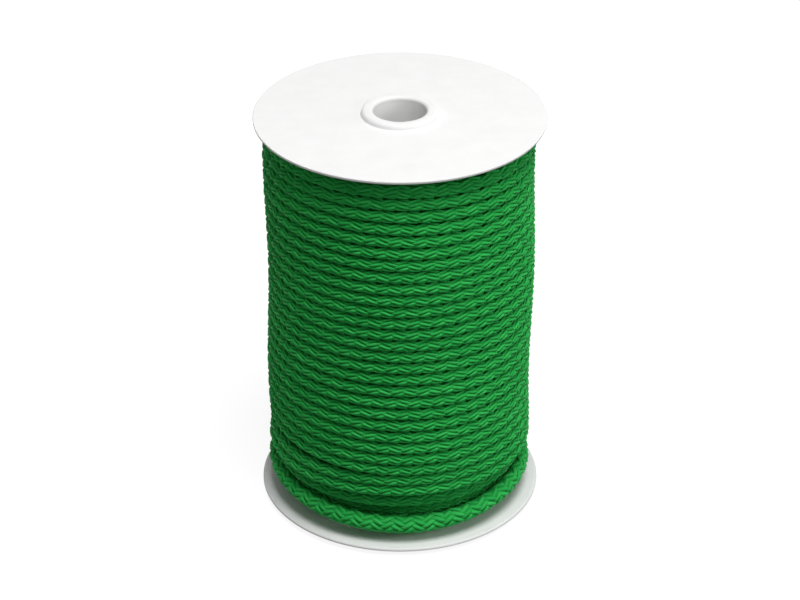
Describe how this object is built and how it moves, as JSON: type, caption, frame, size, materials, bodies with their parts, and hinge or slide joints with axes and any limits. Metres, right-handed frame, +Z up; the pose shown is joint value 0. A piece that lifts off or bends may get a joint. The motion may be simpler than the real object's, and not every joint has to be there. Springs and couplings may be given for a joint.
{
  "type": "cord spool",
  "caption": "Spool of braided utility cord: thin round flanges with a central bore and hub rings on a core tube, wound nearly to the flange edge, last turn loose.",
  "frame": {"origin": "centre of the lower hub ring's foot, on the spool's axis, where the spool stands", "axes": "+Z up along the spool's axis; -Y faces the picture's viewer"},
  "size_m": [0.12, 0.12, 0.18],
  "materials": {
    "flange_plastic": "satin white moulded plastic",
    "core_board": "grey spiral-wound board",
    "tape": "cream paper tape",
    "cord": "green braided filament yarn, slight sheen",
    "sealed_end": "melted cord end"
  },
  "bodies": {
    "root": {"top_flange": "flange_plastic", "bottom_flange": "flange_plastic", "core_tube": "core_board", "start_tape": "tape", "cord_start_end": "cord", "cord_inner_layers": "cord", "cord_outer_layer": "cord", "cord_lower_turns": "cord", "cord_sealed_tip": "sealed_end"}
  },
  "joints": []
}
